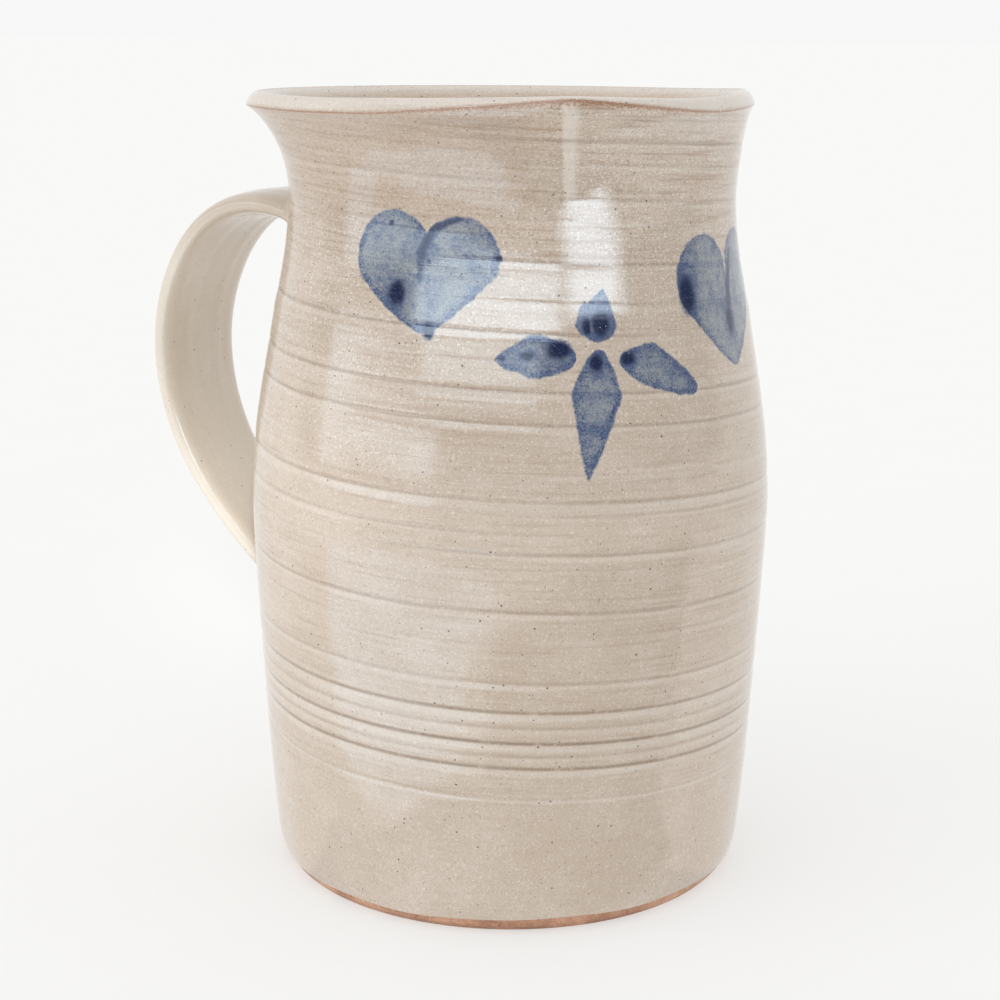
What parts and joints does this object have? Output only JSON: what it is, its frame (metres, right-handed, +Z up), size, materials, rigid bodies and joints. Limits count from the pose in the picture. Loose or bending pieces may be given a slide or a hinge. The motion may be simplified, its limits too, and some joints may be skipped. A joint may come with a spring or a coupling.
{
  "type": "stoneware pitcher",
  "caption": "Hand-thrown stoneware pitcher with a waisted wall, flared lip, pulled spout and strap handle, for serving water, milk or beer.",
  "frame": {"origin": "centre of the flat foot, on the table", "axes": "+Z up along the throwing axis to the mouth, the handle stands on -X, and the spout is turned 128 degrees counter-clockwise from the handle, seen from above"},
  "size_m": [0.173, 0.136, 0.2012],
  "materials": {
    "speckled_glaze": "gloss",
    "bare_clay": "matte"
  },
  "bodies": {
    "root": {"thrown_body": "speckled_glaze", "pulled_handle": "speckled_glaze", "upper_root_coil": "speckled_glaze", "lower_root_coil": "speckled_glaze"}
  },
  "joints": []
}
